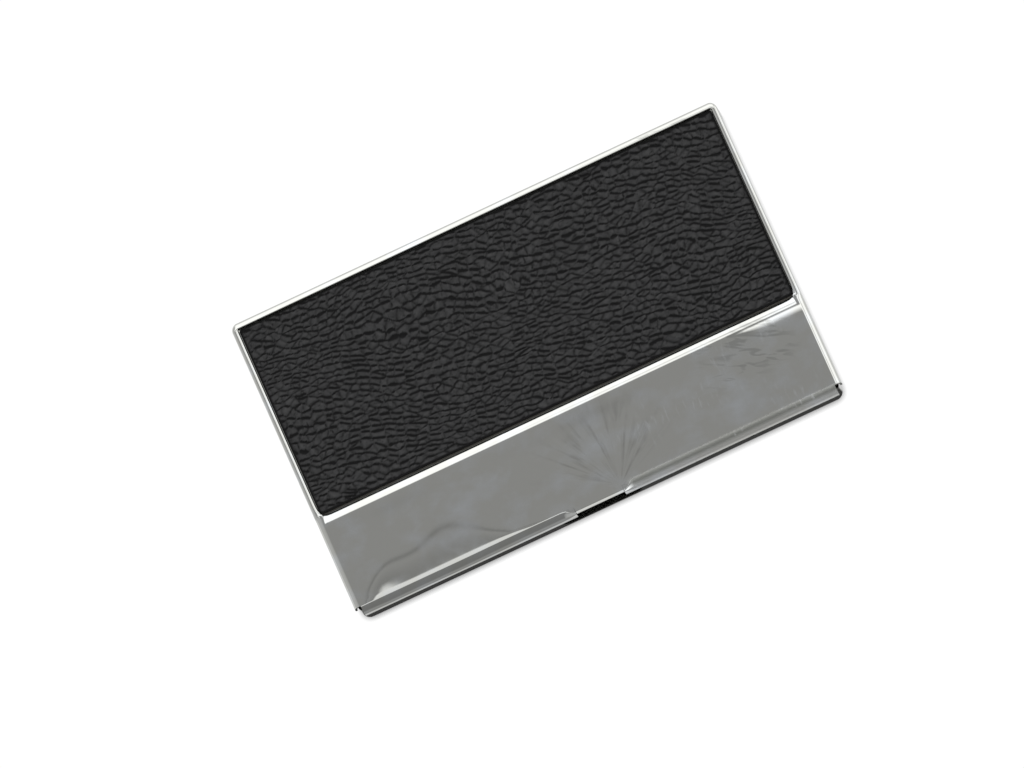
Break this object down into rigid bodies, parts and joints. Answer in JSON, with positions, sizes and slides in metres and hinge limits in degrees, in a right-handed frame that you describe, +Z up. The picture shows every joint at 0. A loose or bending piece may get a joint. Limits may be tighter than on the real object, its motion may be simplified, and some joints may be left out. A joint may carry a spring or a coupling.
{
  "type": "business card case",
  "caption": "Slim hinged case for business cards: polished steel tray and snap lid with a black leather panel in the lid and a thumb notch at the front.",
  "frame": {"origin": "middle of the flat underside of the closed case", "axes": "+X along the long side, -Y towards the thumb notch at the front, +Z up through the lid"},
  "size_m": [0.094, 0.058, 0.007],
  "materials": {
    "lid_steel": "mirror-polished stainless steel",
    "tray_steel": "polished stainless steel",
    "spring_steel": "satin spring steel",
    "rivet_steel": "bright steel",
    "leather": "black pebbled, satin",
    "adhesive": "thin film"
  },
  "bodies": {
    "base": {"base_shell": "tray_steel", "card_stop": "spring_steel", "card_stop_rivets": "rivet_steel", "snap_spring": "spring_steel", "spring_rivet_left": "rivet_steel", "spring_rivet_right": "rivet_steel", "hinge_pin_left": "rivet_steel", "hinge_pin_right": "rivet_steel", "hinge_washer_left": "rivet_steel", "hinge_washer_right": "rivet_steel"},
    "lid": {"lid_shell": "lid_steel", "leather_adhesive": "adhesive", "leather_panel": "leather"}
  },
  "joints": [
    {"name": "lid_hinge", "type": "hinge", "parent": "base", "child": "lid", "pos_m": [0, 0.0266, 0.0039], "axis": [-1, 0, 0], "range_deg": [0, 90], "deforming": ["snap_spring"]}
  ]
}
